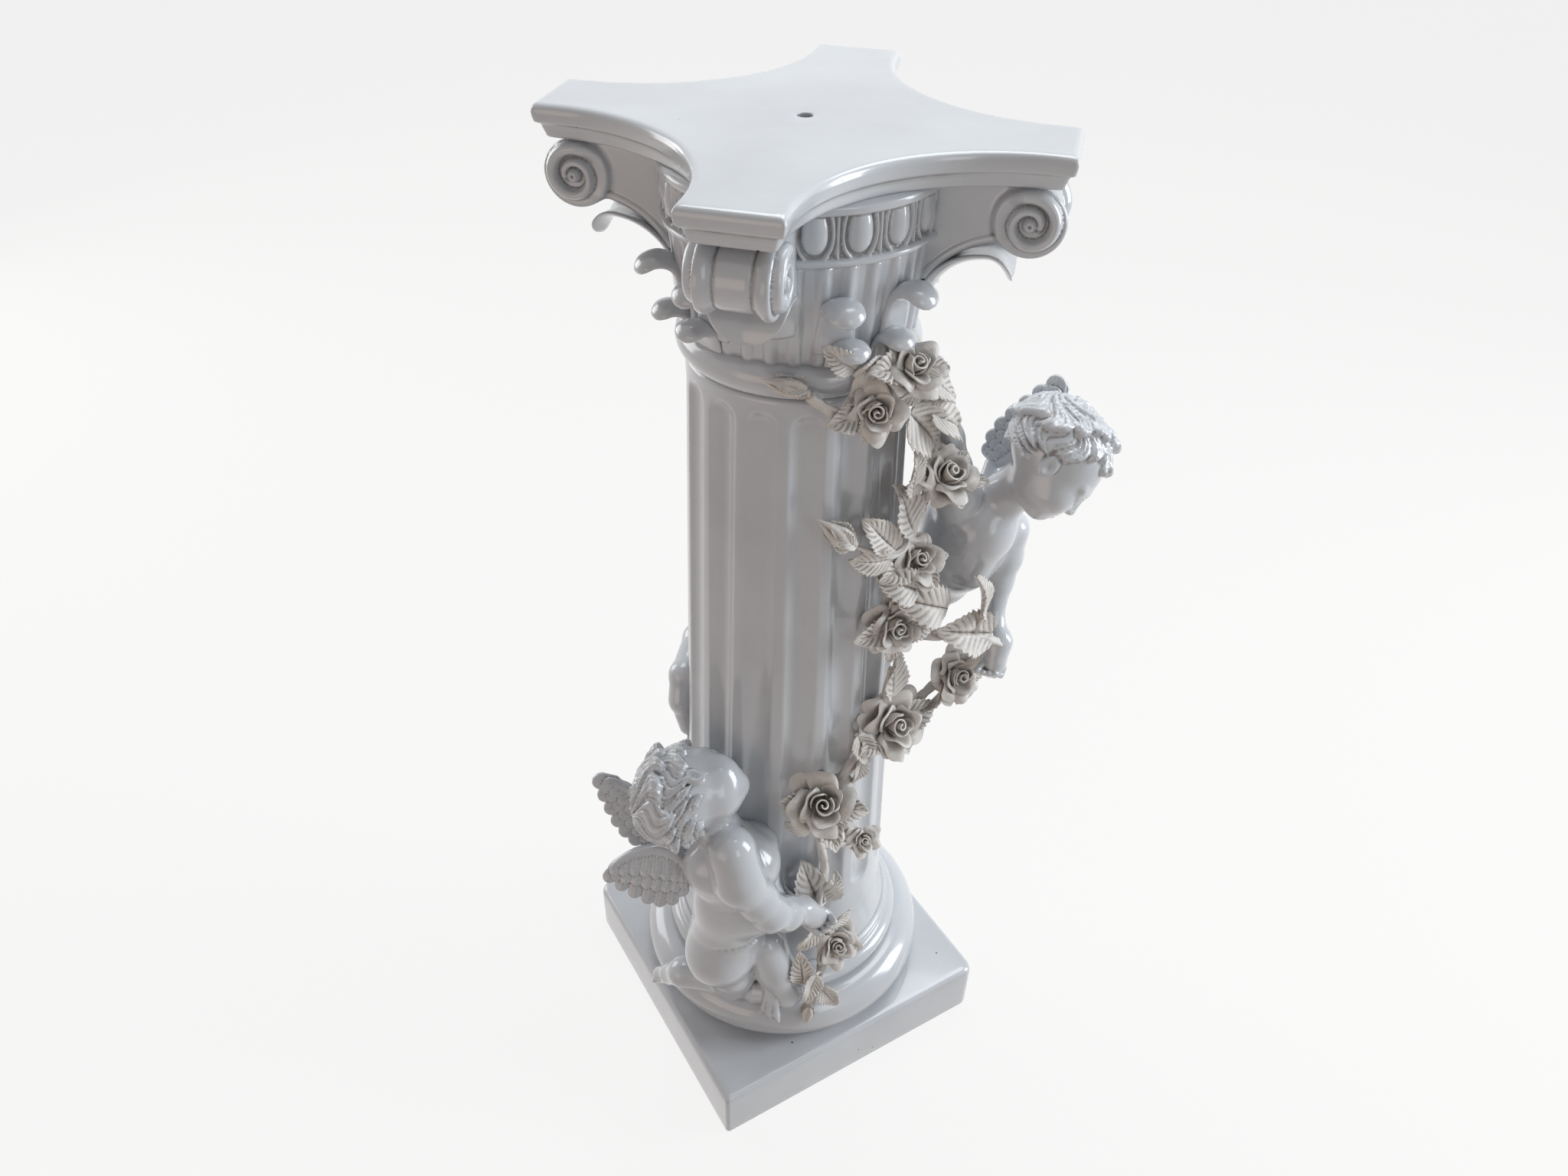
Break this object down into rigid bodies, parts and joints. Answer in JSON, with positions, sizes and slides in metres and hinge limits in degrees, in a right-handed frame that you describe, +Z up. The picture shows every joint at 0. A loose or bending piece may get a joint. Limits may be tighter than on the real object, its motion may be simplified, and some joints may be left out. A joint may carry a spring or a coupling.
{
  "type": "pedestal column stand",
  "caption": "Glazed ceramic column pedestal with a square plinth, fluted shaft, composite capital, two winged putti and a hand-built rose garland; holds a plant or a bust.",
  "frame": {"origin": "middle of the plinth's flat underside", "axes": "+Z up along the column; front towards -Y; the plinth's sides lie along X and Y"},
  "size_m": [0.4166, 0.3218, 0.934],
  "materials": {
    "glaze": "clear glossy glaze over a cool white body",
    "bisque": "matte unglazed clay with dust in the folds"
  },
  "bodies": {
    "root": {"plinth": "glaze", "base_mouldings": "glaze", "shaft": "glaze", "neck_collar": "glaze", "capital_bell": "glaze", "egg_ring": "glaze", "abacus": "glaze", "volute_front_left": "glaze", "volute_front_right": "glaze", "volute_back_right": "glaze", "volute_back_left": "glaze", "corner_leaves": "glaze", "upper_leaf_tips": "glaze", "lower_leaf_tips": "glaze", "kneeling_putto_torso": "glaze", "kneeling_putto_head": "glaze", "kneeling_putto_right_arm": "glaze", "kneeling_putto_left_arm": "glaze", "kneeling_putto_right_leg": "glaze", "kneeling_putto_left_leg": "glaze", "kneeling_putto_right_wing": "glaze", "kneeling_putto_left_wing": "glaze", "knee_drape": "glaze", "flying_putto_torso": "glaze", "flying_putto_head": "glaze", "flying_putto_right_arm": "glaze", "flying_putto_left_arm": "glaze", "flying_putto_right_leg": "glaze", "flying_putto_left_leg": "glaze", "flying_putto_right_wing": "glaze", "flying_putto_left_wing": "glaze", "garland_stem": "bisque", "rose_1": "bisque", "rose_2": "bisque", "rose_3": "bisque", "rose_4": "bisque", "rose_5": "bisque", "rose_6": "bisque", "rose_7": "bisque", "rose_8": "bisque", "rose_9": "bisque", "rose_10": "bisque", "rose_buds": "bisque", "garland_leaves_top": "bisque", "garland_leaves_middle": "bisque", "garland_leaves_low": "bisque"}
  },
  "joints": []
}
